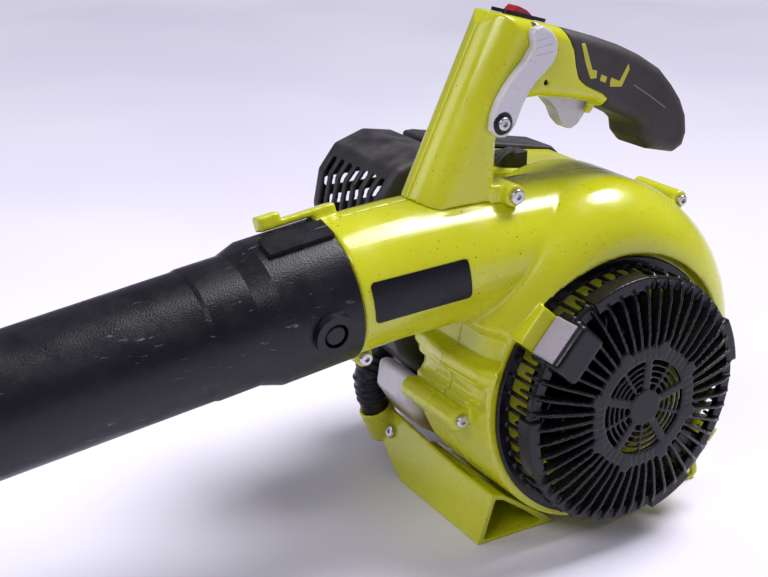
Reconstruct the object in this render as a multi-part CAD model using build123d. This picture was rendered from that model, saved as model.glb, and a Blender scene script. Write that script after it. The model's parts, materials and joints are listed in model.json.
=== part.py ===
"""Handheld two-stroke leaf blower: scroll fan housing with a round outlet, blower tubes, arched handle, engine and recoil starter.

Frame: +X the way the air leaves, +Y the operator's left (fan inlet side), +Z up. z = 0 is the floor under the feet,
y = 0 the parting plane of the fan housing, x = 0 the crankshaft and fan axis. Millimetres.
"""
from build123d import *
import math
import os

os.makedirs("parts", exist_ok=True)

# ---------------------------------------------------------------- driving dimensions
ZF = 113.0            # fan and crank axis height above the floor
WALL = 2.8            # moulded housing wall
DUCT_Z = 212.5        # outlet duct axis height over the scroll
DUCT_R = 45.5         # outlet duct outer radius
PITCH = 8.0           # downward pitch of the outlet and tubes, degrees
DUCT_X0, DUCT_X1 = 100.0, 192.0   # start and end of the duct's gentle bend
TUBE_R = 41.5         # blower tube outer radius
COLLAR_R = 47.0       # tube collar outer radius
TUBE_T = 2.2          # tube wall
TUBE_L = 430.0        # upper tube length from the collar's rear edge
NOZ_L = 330.0         # nozzle tube visible length
NOZ_R = 32.0          # nozzle bore at its tip
GRILLE_Y = 50.0       # seat plane of the inlet cover
GRILLE_R = 96.0       # inlet cover rim radius
SIDE = 22.0           # half width of the handle
EXITZ = DUCT_Z - (DUCT_X1 - DUCT_X0) / math.sin(math.radians(PITCH)) * (1 - math.cos(math.radians(PITCH)))
CP, SP = math.cos(math.radians(PITCH)), math.sin(math.radians(PITCH))
AX = Vector(CP, 0, -SP)          # direction of the tubes
OUT = Vector(DUCT_X1, 0, EXITZ)  # end of the duct bend, on the axis
MIN = (Align.CENTER, Align.CENTER, Align.MIN)
made = {}


# ---------------------------------------------------------------- helpers
def put(name, shape):
    if isinstance(shape, (list, tuple, ShapeList)):
        shape = Compound(children=[s for x in shape for s in x.solids()])
    made[name] = shape
    export_step(shape, f"parts/{name}.step")


def cyl(p, d, r, h):
    return Plane(origin=tuple(p), z_dir=tuple(Vector(*d) if not isinstance(d, Vector) else d)) * Cylinder(r, h, align=MIN)


def cone(p, d, r1, r2, h):
    return Plane(origin=tuple(p), z_dir=tuple(Vector(*d) if not isinstance(d, Vector) else d)) * Cone(r1, r2, h, align=MIN)


def box(x0, x1, y0, y1, z0, z1):
    return Pos((x0 + x1) / 2, (y0 + y1) / 2, (z0 + z1) / 2) * Box(x1 - x0, y1 - y0, z1 - z0)


def xz(y1):
    return Plane(origin=(0, y1, 0), x_dir=(1, 0, 0), z_dir=(0, -1, 0))


def prof(pts, y0, y1, r=0.0):
    """Polygon in (x, z), corners rounded by r, from y0 to y1."""
    line = FilletPolyline(*pts, radius=r, close=True) if r else Polyline(*pts, close=True)
    return xz(y1) * extrude(make_face(line), y1 - y0)


def grown(pts, off, y0, y1):
    f = offset(make_face(Polyline(*pts, close=True)), amount=off, kind=Kind.INTERSECTION)
    return xz(y1) * extrude(f, y1 - y0)


def spl(pts, y0, y1):
    return xz(y1) * extrude(make_face(Spline(*pts, periodic=True)), y1 - y0)


def ring(p, d, ro, ri, h):
    return cyl(p, d, ro, h) - cyl(Vector(*p) - Vector(*d) * 1.0 if not isinstance(p, Vector) else p - Vector(*tuple(d)) * 1.0, d, ri, h + 2)


def soften(shape, edges, radii):
    for r in radii:
        try:
            out = fillet(edges, r)
            if out.is_valid and out.volume > 0:
                return out
        except Exception:
            continue
    print("  not softened")
    return shape


def tube_along(pts, radii, r):
    """Round solid along straight runs joined by tangent arcs."""
    line = FilletPolyline(*pts, radius=radii)
    d0 = (Vector(*pts[1]) - Vector(*pts[0])).normalized()
    return sweep(Plane(origin=tuple(pts[0]), z_dir=tuple(d0)) * Circle(r), path=line)


def arcs(pts):
    """The largest fair arc at each inner point of a route."""
    out = []
    for a, b, c in zip(pts, pts[1:], pts[2:]):
        u, v = Vector(*b) - Vector(*a), Vector(*c) - Vector(*b)
        turn = math.radians(u.get_angle(v))
        out.append(0.45 * min(u.length, v.length) / math.tan(turn / 2))
    return out


def on_axis(t, r=0.0, a=0.0):
    """A point t along the tube axis from the duct end, r from it, at angle a (0 = up, 90 = left)."""
    up = Vector(SP, 0, CP)
    side = Vector(0, 1, 0)
    return OUT + AX * t + up * (r * math.cos(math.radians(a))) + side * (r * math.sin(math.radians(a)))


def screw(p, d, head_r=4.6, head_h=3.2, shank_r=2.0, shank_l=14.0):
    """Pan head screw with a six-point socket; d points out of the head."""
    d = Vector(*d)
    p = Vector(*p)
    s = cyl(p, d, head_r, head_h)
    s = soften(s, s.edges().group_by(Axis(tuple(p), tuple(d)))[-1], [1.2, 0.8])
    s = s + cyl(p - d * shank_l, d, shank_r, shank_l + 0.5)
    hexa = Plane(origin=tuple(p + d * (head_h - 1.8)), z_dir=tuple(d)) * extrude(RegularPolygon(2.1, 6), 3)
    return s - hexa


# ---------------------------------------------------------------- scroll fan housing
SCROLL = {0: 103, 30: 112, 60: 131, 90: 144.5, 120: 138, 150: 130, 180: 123, 210: 116, 240: 109, 270: 105, 300: 102, 330: 101}


def scroll(off):
    return [((r - off) * math.cos(math.radians(a)), ZF + (r - off) * math.sin(math.radians(a))) for a, r in SCROLL.items()]


def duct(r, x_start=-6.0, extra=0.0):
    """Outlet duct: straight over the scroll, then a gentle bend down to the outlet pitch."""
    bend_r = (DUCT_X1 - DUCT_X0) / SP
    a = cyl((x_start, 0, DUCT_Z), (1, 0, 0), r, DUCT_X0 - x_start)
    face = Plane(origin=(DUCT_X0, 0, DUCT_Z), z_dir=(1, 0, 0)) * Circle(r)
    b = revolve(face, Axis((DUCT_X0, 0, DUCT_Z - bend_r), (0, 1, 0)), PITCH)
    if extra:
        return a.fuse(b, cyl(OUT, AX, r, extra))
    return a + b


def housing(off):
    """Filled housing body, its skin moved in by off."""
    s = spl(scroll(off), -50 + off, 61 - off)
    s = soften(s, s.faces().sort_by(Axis.Y)[-1].edges(), [40 - off, 36 - off, 30 - off, 20 - off])
    s = soften(s, s.faces().sort_by(Axis.Y)[0].edges(), [22 - off, 18 - off, 14 - off])
    s = s + cyl((0, -40 + off, ZF), (0, 1, 0), 101 - off, GRILLE_Y + 40 - 2 * off)
    s = s + duct(DUCT_R - off)
    return s


def nose(off):
    """Tapered wall between the duct's underside and the ledge in front of the scroll's tongue."""
    lo = [(30, -46), (84, -44), (88, -30), (90, 10), (86, 28), (75, 44), (60, 51), (30, 52)]
    hi = [(-6, -44), (52, -40), (66, -24), (70, 0), (60, 24), (46, 40), (34, 45), (-6, 46)]
    a = Pos(0, 0, 133 + off) * offset(make_face(FilletPolyline(*lo, radius=6, close=True)), amount=-off if off else 0.01)
    b = Pos(0, 0, 186) * offset(make_face(FilletPolyline(*hi, radius=6, close=True)), amount=-off if off else 0.01)
    return loft([a, b])


outer = housing(0) + nose(0)
# the ledge: a rounded rail that runs across the front and turns back to the inlet cover
ledge_pts = [(90, -56), (101, -44), (106, 0), (104, 40), (94, 56), (80, 62.5), (50, 62.5), (50, -56)]
ledge = Pos(0, 0, 130.5) * extrude(make_face(FilletPolyline(*ledge_pts, radius=5, close=True)), 13)
ledge = soften(ledge, ledge.faces().filter_by(Axis.Z).edges(), [5.2, 4.5, 3])
ledge = Plane(origin=(75, 0, 137), x_dir=(1, 0, 0.06), z_dir=(-0.06, 0, 1)) * (Pos(-75, 0, -137) * ledge)
outer = outer + ledge
# recess that the inlet cover sits in
outer = outer - cyl((0, GRILLE_Y, ZF), (0, 1, 0), 99.5, 40)
# spigot that the tube slides over
spig = cyl(OUT - AX * 4, AX, 43.0, 54)
# screw bosses
LATCH_A = 40.7
lat_d = Vector(math.cos(math.radians(LATCH_A)), 0, math.sin(math.radians(LATCH_A)))
lat_t = Vector(-lat_d.Z, 0, lat_d.X)
BOSS_A = (109, 30, 104)
BOSS_B = (-80, 24, 230)
BOSS_C = (-96, 30, 44)
BOSS_D = (176, 16, 160.0)
outer = outer + cyl((BOSS_A[0], -36, BOSS_A[2]), (0, 1, 0), 8.2, 66)
outer = outer + cyl((BOSS_B[0], -22, BOSS_B[2]), (0, 1, 0), 6.6, 46)
outer = outer + cyl((BOSS_C[0], -32, BOSS_C[2]), (0, 1, 0), 8.0, 62)
outer = outer + cyl((BOSS_D[0], -14, BOSS_D[2]), (0, 1, 0), 6.5, 30)
inner = housing(WALL) - cyl((0, GRILLE_Y - WALL, ZF), (0, 1, 0), 102.3, 40) + nose(WALL + 0.4)
inner = inner - cyl((BOSS_A[0], -36, BOSS_A[2]), (0, 1, 0), 6.0, 66) - cyl((BOSS_B[0], -22, BOSS_B[2]), (0, 1, 0), 5.0, 46)
# a flange at the duct's end carries the spigot
inner = inner - cyl(OUT - AX * 4, AX, 60, 20)
shell = (outer + spig) - inner - cyl(OUT - AX * 6, AX, 40.4, 80)
# fan inlet, shaft passage, ignition clearance
shell = shell - cyl((0, 40, ZF), (0, 1, 0), 68, 30)
shell = shell - cyl((0, -60, ZF), (0, 1, 0), 20, 20)
# bell mouth lip round the inlet
shell = shell + ring((0, 40.0, ZF), (0, 1, 0), 71.0, 68, 10.0)
# shell screw holes
for b, y0, y1 in ((BOSS_A, -38, 40), (BOSS_B, -38, 40), (BOSS_C, -38, 40), (BOSS_D, -20, 20)):
    shell = shell - cyl((b[0], y0, b[2]), (0, 1, 0), 2.05, y1 - y0)
# slot for the tube lock button's arm in the spigot, left side
BT = 24.0   # button position along the tube axis from the duct end
bdir = Vector(0, 1, 0) * math.sin(math.radians(98)) + Vector(SP, 0, CP) * math.cos(math.radians(98))
bpos = OUT + AX * BT
shell = shell - cyl(bpos + bdir * 30, bdir, 7.4, 20)
# latch keeper block, left shell
keeper = Plane(origin=tuple(Vector(0, 49.5, ZF) + lat_d * 88.0), x_dir=tuple(lat_t), z_dir=(0, 1, 0)) * Box(29, 12, 12.5, align=MIN)
keeper = keeper + Plane(origin=tuple(Vector(0, 44.0, ZF) + lat_d * 93.0), x_dir=tuple(lat_t), z_dir=(0, 1, 0)) * Box(29, 16, 18, align=MIN)
# hinge lugs at the rear for the inlet cover
HA = LATCH_A + 180.0
h_d = Vector(math.cos(math.radians(HA)), 0, math.sin(math.radians(HA)))
h_t = Vector(-h_d.Z, 0, h_d.X)
H_R = 106.0
HP = Vector(0, 60.0, ZF) + h_d * H_R        # hinge axis passes here, along h_t
left = (shell & box(-200, 300, 0, 100, -5, 300)) + (keeper - cyl((0, 40, ZF), (0, 1, 0), 71, 40))
lug = cyl(HP - h_t * 24, h_t, 6.0, 12) + cyl(HP + h_t * 12, h_t, 6.0, 12)
for s in (-24, 12):
    lug = lug + (Plane(origin=tuple(Vector(0, 47, ZF) + h_d * (H_R - 4.3) + h_t * (s + 6)), x_dir=tuple(h_t), z_dir=(0, 1, 0)) * Box(12, 7, 13, align=MIN))
left = left + lug - cyl(HP - h_t * 30, h_t, 2.55, 60)
right = shell & box(-200, 300, -100, 0, -5, 300)
# tongue that reaches over the tube's collar
tn = Plane(origin=tuple(on_axis(-16, 44.4, -15)), x_dir=tuple(AX), z_dir=tuple(on_axis(0, 1, -15) - OUT))
tongue = tn * Box(18.0, 12, 8.2, align=(Align.MIN, Align.CENTER, Align.MIN)) + tn * (Pos(0, 0, 3.8) * Box(54, 12, 4.4, align=(Align.MIN, Align.CENTER, Align.MIN))) + tn * (Pos(38, 0, 3.8) * Box(16, 12, 9.5, align=(Align.MIN, Align.CENTER, Align.MIN)))
tongue = soften(tongue, tongue.edges().filter_by(Axis(tuple(OUT), tuple(on_axis(0, 1, -15) - OUT))), [3, 2])
right = right + (tongue - duct(DUCT_R - 1.0, x_start=60, extra=60))
# mounting feet for the engine on the right shell
for x, z in ((-30, ZF - 30), (30, ZF - 30), (-30, ZF + 30), (30, ZF + 30)):
    right = right + cyl((x, -64, z), (0, 1, 0), 7, 17.5)
    right = right - cyl((x, -66, z), (0, 1, 0), 2.6, 30)


def biggest(s):
    ss = sorted(s.solids(), key=lambda q: -q.volume)
    return ss[0]


left, right = biggest(left), biggest(right)
put("volute_left_shell", left)
put("volute_right_shell", right)
screws = [screw((BOSS_A[0], 30, BOSS_A[2]), (0, 1, 0)), screw((BOSS_B[0], 24, BOSS_B[2]), (0, 1, 0), head_r=4.0),
          screw((BOSS_C[0], 30, BOSS_C[2]), (0, 1, 0)), screw((BOSS_D[0], 16, BOSS_D[2]), (0, 1, 0))]

# ---------------------------------------------------------------- inlet cover: domed grille on a rear hinge
cov = ring((0, GRILLE_Y + 0.4, ZF), (0, 1, 0), GRILLE_R, 87, 4.0)
cov = cov + ring((0, 75.0, ZF), (0, 1, 0), 89.5, 81.0, 5.0)
cov = cov + ring((0, 87.0, ZF), (0, 1, 0), 44.0, 34.0, 3.5)
cov = cov + cyl((0, 88.0, ZF), (0, 1, 0), 13.0, 3.0)
for r in (31.0, 26.8, 22.6, 18.4):
    cov = cov + ring((0, 87.8, ZF), (0, 1, 0), r, r - 1.6, 2.4)
for i in range(8):
    a = math.radians(45 * i + 18)
    cov = cov + cyl((42.6 * math.cos(a), 86.6, ZF + 42.6 * math.sin(a)), (0, 1, 0), 5.4, 4.2)
# raised shoulder of the rim above the latch, and a lower one opposite
for a0, a1 in ((62, 92), (-22, 4), (150, 172), (232, 256)):
    wedge = [(0, ZF)] + [(150 * math.cos(math.radians(a)), ZF + 150 * math.sin(math.radians(a))) for a in (a0, (a0 + a1) / 2, a1)]
    cov = cov + (ring((0, 70.0, ZF), (0, 1, 0), 91.5, 82.0, 13.0) & prof(wedge, 60, 95))
bars = []
N = 48
side_bar = box(86.2, 89.2, 50.6, 79.0, ZF - 1.3, ZF + 1.3)
fin = prof([(36.0, 90.8), (36.0, 86.2), (80, 76.5), (86.4, 73.5), (87.6, 65), (90.6, 65), (91.4, 76), (87, 82.5), (77, 86.8), (54, 90.2)], -1.15, 1.15)
fin = Plane(origin=(0, 0, 0), x_dir=(1, 0, 0), z_dir=(0, 0, 1)) * fin
# the fin's profile is drawn with z standing for y, so turn it about X and lift it to the axis
fin = Pos(0, 0, ZF) * (Rot(90, 0, 0) * Pos(0, 0, 0) * fin)
fin = mirror(fin, Plane.XZ) if fin.bounding_box().max.Y < 10 else fin
for i in range(N):
    a = 360.0 / N * i
    rel = (a - 0.0)
    bars.append(Pos(0, 0, ZF) * Rot(0, -a, 0) * Pos(0, 0, -ZF) * fin)
    bars.append(Pos(0, 0, ZF) * Rot(0, -a - 3.75, 0) * Pos(0, 0, -ZF) * side_bar)
for i in range(5):
    a = 72.0 * i + 20
    spoke = box(10, 36, 88.2, 90.6, ZF - 3.0, ZF + 3.0)
    bars.append(Pos(0, 0, ZF) * Rot(0, -a, 0) * Pos(0, 0, -ZF) * spoke)
    rib = box(10, 36, 87.9, 90.1, ZF - 1.0, ZF + 1.0)
    bars.append(Pos(0, 0, ZF) * Rot(0, -a - 36, 0) * Pos(0, 0, -ZF) * rib)
cov = cov.fuse(*bars)
# raised latch pocket, box like, at the front top
pk = Plane(origin=tuple(Vector(0, 62.8, ZF) + lat_d * 76.5), x_dir=tuple(lat_t), z_dir=(0, 1, 0)) * Box(36, 25, 27, align=MIN)
pk = soften(pk, pk.edges().filter_by(Axis.Y) + pk.faces().sort_by(Axis.Y)[-1].edges(), [4, 3, 2])
seat = Plane(origin=tuple(Vector(0, 62.0, ZF) + lat_d * 86.0), x_dir=tuple(lat_t), z_dir=(0, 1, 0)) * Box(30.6, 14, 22.6, align=MIN)
room = Plane(origin=tuple(Vector(0, 48.0, ZF) + lat_d * 90.0), x_dir=tuple(lat_t), z_dir=(0, 1, 0)) * Box(30.6, 26, 14.7, align=MIN)
cov = (cov + pk) - seat - room
# hinge knuckle
kn = cyl(HP - h_t * 11.6, h_t, 5.6, 23.2)
kn = kn + (Plane(origin=tuple(Vector(0, 54.0, ZF) + h_d * 95.0), x_dir=tuple(h_t), z_dir=(0, 1, 0)) * Box(23.2, 22, 4.6, align=MIN))
cov = cov + kn - cyl(HP - h_t * 14, h_t, 2.56, 28)
cov = cov - cyl((0, 40, ZF), (0, 1, 0), 10, 20)
put("inlet_cover", biggest(cov))
put("cover_hinge_pin", cyl(HP - h_t * 26, h_t, 2.5, 52))
latch = Plane(origin=tuple(Vector(0, 62.6, ZF) + lat_d * 86.5), x_dir=tuple(lat_t), z_dir=(0, 1, 0)) * Box(29.6, 5.6, 21.6, align=MIN)
latch = soften(latch, latch.edges(), [1.0, 0.6])
put("cover_latch", latch)

# ---------------------------------------------------------------- blower tubes
TC = 2.0          # collar's rear edge, from the duct end
collar_l = 62.0
tube = cyl(on_axis(TC), AX, COLLAR_R, collar_l - 12)
tube = tube + cone(on_axis(TC + collar_l - 12), AX, COLLAR_R, TUBE_R + 0.8, 14)
tube = tube + cyl(on_axis(TC + collar_l), AX, TUBE_R + 0.8, 30)
tube = tube + cone(on_axis(TC + collar_l + 30), AX, TUBE_R + 0.8, TUBE_R, 3)
tube = tube + cone(on_axis(TC + collar_l + 33), AX, TUBE_R, TUBE_R - 1.5, TUBE_L - collar_l - 33)
bore = cyl(on_axis(TC - 1), AX, 43.4, 52.0) + cone(on_axis(TC + 50.9), AX, 43.4, TUBE_R - 1.8, 10)
bore = bore + cone(on_axis(TC + 60.8), AX, TUBE_R - 1.8, TUBE_R - 1.5 - TUBE_T, TUBE_L)
# raised keyway along the collar's top and lug pocket on its left
key = Plane(origin=tuple(on_axis(TC + 0.2, 44.0, 16)), x_dir=tuple(AX), z_dir=tuple(on_axis(0, 1, 16) - OUT)) * Box(44, 17, 5.6, align=(Align.MIN, Align.CENTER, Align.MIN))
tube = tube + key
bossb = cyl(bpos + bdir * 42.0, bdir, 13.5, 8.6)
tube = tube + bossb
tube = tube - bore - cyl(bpos + bdir * 36, bdir, 8.2, 20)
# bayonet studs for the nozzle at the far end
tube = tube + cyl(on_axis(TC + TUBE_L - 22, 37.0, 90), (0, 1, 0), 3.2, 6.4) + cyl(on_axis(TC + TUBE_L - 22, 37.0, -90), (0, -1, 0), 3.2, 6.4)
tube = tube - cyl(on_axis(TC + TUBE_L - 40), AX, TUBE_R - 1.5 - TUBE_T, 60)
put("blower_tube", biggest(tube))
button = cyl(bpos + bdir * 36.6, bdir, 7.0, 13.4)
button = soften(button, button.edges().group_by(Axis(tuple(bpos), tuple(bdir)))[-1], [2.0, 1.2])
put("tube_lock_button", button)

NZ0 = TC + TUBE_L - 46         # rear edge of the nozzle's socket
noz = cyl(on_axis(NZ0), AX, 44.6, 44)
noz = noz + cone(on_axis(NZ0 + 44), AX, 44.6, 41.0, 10)
noz = noz + cone(on_axis(NZ0 + 54), AX, 41.0, NOZ_R + 2.2, NOZ_L - 40)
noz = noz + cyl(on_axis(NZ0 + 54 + NOZ_L - 40), AX, NOZ_R + 2.2, 36)
nb = cyl(on_axis(NZ0 - 1), AX, 42.1, 48.0) + cone(on_axis(NZ0 + 46.9), AX, 42.1, 38.8, 8)
nb = nb + cone(on_axis(NZ0 + 54.8), AX, 38.8, NOZ_R, NOZ_L - 40 - 0.8) + cyl(on_axis(NZ0 + 54 + NOZ_L - 40 - 0.05), AX, NOZ_R, 60)
noz = noz - nb
# L slots for the bayonet studs
for s in (90, -90):
    sgn = 1 if s == 90 else -1
    d = Vector(0, sgn, 0)
    c = on_axis(TC + TUBE_L - 22)
    slot = Plane(origin=tuple(c + d * 38), x_dir=tuple(AX), z_dir=tuple(d)) * Box(8.0, 8.0, 14, align=MIN)
    noz = noz - slot
    up = Vector(SP, 0, CP)
    for k in range(1, 8):
        a = k * 5.0 * 1.0
        ang = (90 if sgn > 0 else -90) + a
        dd = on_axis(0, 1, ang) - OUT
        noz = noz - (Plane(origin=tuple(c + dd * 38), x_dir=tuple(AX), z_dir=tuple(dd)) * Box(8.0, 8.0, 14, align=MIN))
# ribs round the socket
for k in range(3):
    noz = noz + ring(on_axis(NZ0 + 6 + k * 3.6), AX, 45.6, 43.2, 1.8)
put("nozzle_tube", biggest(noz))

# ---------------------------------------------------------------- handle
H_OUT = [(141, 247), (130, 288), (110, 325), (99, 343), (85, 366), (77, 373), (68, 371), (38, 363), (18, 357.5), (0, 352), (-20, 345), (-38, 337),
         (-57, 326), (-69, 314), (-78, 303), (-84, 291), (-86, 278), (-83, 268), (-75, 264), (-51, 269.5), (-44, 277), (-42, 286), (-36, 291),
         (-28, 295), (-14, 301), (0, 308), (20, 312.5), (45, 317), (60, 317), (72, 307), (79, 292), (79, 247)]
OVER = [(35, 372), (28, 357), (22, 346), (20, 336), (17, 327), (11, 322), (-4, 315), (-9, 311), (-6, 300), (-6, 250), (-120, 250), (-120, 372)]


def h_solid(off, y, r=0.0):
    f = make_face(Polyline(*H_OUT, close=True))
    if off:
        f = offset(f, amount=-off, kind=Kind.INTERSECTION)
    s = xz(y) * extrude(f, 2 * y)
    return s


def pillar(off):
    """Long prism with a half oval nose: it rounds the front of the pillar."""
    n = Vector(119, 0, 56).normalized()
    d = Vector(56, 0, -119).normalized()
    sec = Rectangle(200, 2 * (SIDE - off) + 2, align=(Align.MAX, Align.CENTER))
    pl = Plane(origin=(85, 0, 366), x_dir=tuple(n), z_dir=tuple(d))
    face = Pos(-20, 0) * sec + Pos(-20, 0) * Ellipse(20 - off, SIDE - off)
    return Pos(*(d * -70)) * (pl * extrude(face, 240))


def rounded(off, radii):
    q = h_solid(off, SIDE - off)
    return soften(q, q.faces().filter_by(Axis.Y).edges(), radii)


hs = rounded(0, [9, 7, 5, 3.5, 2.5]) & pillar(0)
core = rounded(2.6, [6.4, 5, 4, 3, 2]) & pillar(2.6)
overr = prof(OVER, -40, 40)
sleeve = rounded(2.5, [6.4, 5, 4, 3, 2])
grip = (hs & overr) - sleeve
grip = grip - box(-9.8, 53, -8.5, 8.5, 290, 312)
inner_h = rounded(5.0, [4, 3, 2]) & pillar(5.0)
thin = rounded(2.7, [6.2, 5, 4, 3, 2]) & grown(OVER, 1.0, -40, 40)
body_h = (hs - grown(OVER, 0.15, -40, 40)) + thin
hollow = inner_h + (core & box(40, 160, -19.6, 19.6, 240, 356)) + box(-9.5, 53, -8.2, 8.2, 290, 336)
hollow = hollow + cyl((62, -12, 266), Vector(22, 4, 7).normalized(), 4.0, 34)
cut_duct = duct(DUCT_R + 0.15, x_start=40, extra=0)
body_h = body_h - hollow - cut_duct
# pins and openings
TP = (44.0, 327.0)          # trigger pivot
body_h = body_h - cyl((TP[0], -30, TP[1]), (0, 1, 0), 1.85, 60)
LP = (82.0, 306.0)          # cruise lever pivot
lug_l = cyl((LP[0], 10, LP[1]), (0, 1, 0), 7.0, 12.0)
body_h = body_h + lug_l - cyl((LP[0], 6, LP[1]), (0, 1, 0), 2.05, 20)
# rear screw ear on the left, sits on the housing top
EAR = (72, 257.5)
ear = cyl((EAR[0], 8, EAR[1]), (0, 1, 0), 7.6, 23.5)
ear = ear + box(72, 86, 8, 24, 249, 264)
ear = (ear - cut_duct) - spl(scroll(-0.2), -60, 60)
body_h = body_h + ear - cyl((EAR[0], -2, EAR[1]), (0, 1, 0), 2.05, 60)
# switch pocket in the top
sw_c = Vector(53, 0, 367.15)
sw_x = Vector(30, 0, 8).normalized()
sw_z = Vector(-sw_x.Z, 0, sw_x.X)
SWP = Plane(origin=tuple(sw_c), x_dir=tuple(sw_x), z_dir=tuple(sw_z))
body_h = body_h - SWP * Box(23, 13, 22)
RKP = sw_c - sw_z * 3.0
body_h = body_h - cyl(RKP - Vector(0, 30, 0), (0, 1, 0), 1.85, 60)
# grip underside trigger stop hook
HOOK = [(-6.5, 311), (-5.6, 304), (-2, 299.5), (3, 300.5), (-1, 309), (2, 314), (-4, 314)]
body_h = body_h + prof(HOOK, 8.3, 12) + prof(HOOK, -12, -8.3)
hl = body_h & box(-200, 200, 0, 60, 200, 400)
hr = body_h & box(-200, 200, -60, 0, 200, 400)
put("handle_left_shell", biggest(hl))
put("handle_right_shell", biggest(hr))
put("grip_overmold", biggest(grip))
screws.append(screw((EAR[0], 31.6, EAR[1]), (0, 1, 0), head_r=5.2, head_h=3.6, shank_l=12))
bez = SWP * (Pos(0, 0, 0.15) * Box(33, 20, 2.4, align=MIN))
bez = soften(bez, bez.edges().filter_by(Axis(tuple(sw_c), tuple(sw_z))), [3, 2])
bez = bez - SWP * Box(20.6, 12.2, 10)
put("switch_bezel", bez)
rk = prof([(-9.4, -6), (9.4, -6), (9.4, 1.6), (6.0, 6.6), (-2.0, 5.2), (-9.4, 1.2)], -5.6, 5.6, 0.8)
rk = rk - cyl((0, -10, -3.0), (0, 1, 0), 1.86, 20)
rk = Location(Plane(origin=tuple(sw_c), x_dir=tuple(sw_x), z_dir=tuple(sw_z))) * rk
put("stop_rocker", rk)
put("handle_pins", [cyl(RKP - Vector(0, 18.5, 0), (0, 1, 0), 1.8, 37.0), cyl((TP[0], -18.5, TP[1]), (0, 1, 0), 1.8, 37.0)])

# trigger
trg = [(47, 331), (40, 331), (24, 326.5), (4, 322), (-2, 315), (-3.2, 309.5), (-3.2, 303.5), (-1, 298), (4, 292), (8, 289.8), (12, 289.5), (18.5, 296), (23, 305), (30, 312), (38, 318), (48, 322)]
tr = prof(trg, -6.6, 6.6)
tr = soften(tr, tr.edges().filter_by(Axis.Y), [1.2, 0.8])
tr = tr - cyl((TP[0], -10, TP[1]), (0, 1, 0), 1.86, 20)
put("throttle_trigger", tr)
sp = ring((TP[0], 7.2, TP[1]), (0, 1, 0), 5.4, 3.4, 5.0)
sp = sp + box(TP[0] - 14, TP[0] - 3.6, 8.4, 10.0, TP[1] + 2.6, TP[1] + 4.2)
put("trigger_spring", sp)

# cruise control lever on the left side
lev = [(59.5, 364), (54, 365.5), (47, 362), (42, 356), (41, 349), (43.5, 342), (49, 336.5), (57, 330.5), (62.5, 324), (67.5, 315), (71.5, 305), (75, 300.5), (80, 296.5),
       (86, 297.5), (90.5, 302), (89.5, 311), (85.5, 321), (80, 329), (73, 337), (66, 343.5), (62.5, 349), (59.5, 353), (61.5, 361)]
lv = prof(lev, SIDE + 0.5, SIDE + 7.0, 1.0)
lv = soften(lv, lv.faces().sort_by(Axis.Y)[-1].edges(), [1.6, 1.0, 0.6])
for k in range(3):
    lv = lv - (Pos(53.0 - k * 0.6, SIDE + 7.6, 357.0 - k * 4.6) * Rot(0, 8, 0) * Box(14, 2.6, 1.5))
lv = lv - cyl((LP[0], 10, LP[1]), (0, 1, 0), 3.56, 40) - cyl((LP[0], SIDE + 4.2, LP[1]), (0, 1, 0), 7.4, 10)
put("cruise_lever", biggest(lv))
bush = ring((LP[0], SIDE + 0.05, LP[1]), (0, 1, 0), 3.5, 2.1, 4.4)
bush = bush + ring((LP[0], SIDE + 4.5, LP[1]), (0, 1, 0), 7.0, 2.1, 1.4)
put("lever_bush", bush)
put("lever_screw", screw((LP[0], SIDE + 5.95, LP[1]), (0, 1, 0), head_r=4.4, head_h=3.0, shank_l=15.5))

# ---------------------------------------------------------------- base frame, lower handle, tank
ff = prof([(92, 0), (22, 0), (50, 21), (70, 35), (80.5, 38)], -76, 30, 1.2) - prof([(86.0, 2.6), (33, 2.6), (53, 18.6), (70, 30.6), (77.0, 33)], -80, 31, 0.6)
rf = prof([(-115, 5), (-110, 0), (-62, 0), (-80, 21), (-92, 28), (-108, 34)], -138, 34, 1.5) - prof([(-109.5, 5.5), (-107, 2.8), (-68, 2.8), (-82, 18.6), (-93, 24.6), (-105.5, 29)], -139, 35, 0.8)
fb = ff + rf
# upright front plate: its lower corner is cut away towards the engine side, its top edge rises that way
LEAN = Pos(92, 0, 0) * Rot(0, -17, 0)
pl = extrude(Plane(origin=(0, 0, 0), x_dir=(0, 1, 0), z_dir=(1, 0, 0)) * make_face(Polyline((-76, 0.5), (30, 0.5), (30, 36), (0, 38.5), (-126, 48), (-138, 46), (-138, 38), (-126, 28), (-100, 11), close=True)), 3.2)
fb = fb + (LEAN * Pos(-3.2, 0, 0) * pl & box(0, 200, -200, 60, 1, 80))
fb = fb - prof([(60, 29), (76.5, 29), (74.5, 44), (60, 44)], -77, -3)
for y0, y1 in ((-74, -60), (-20, -8)):
    fb = fb + prof([(56, 10), (56, 20), (-80, 20), (-80, 10)], y0, y1)
fb = fb + prof([(-101, 20), (-90, 20), (-90, 34), (-101, 34)], -20, -8)
fb = fb + box(-88, 40, -12, 6, 0, 6)
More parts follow.
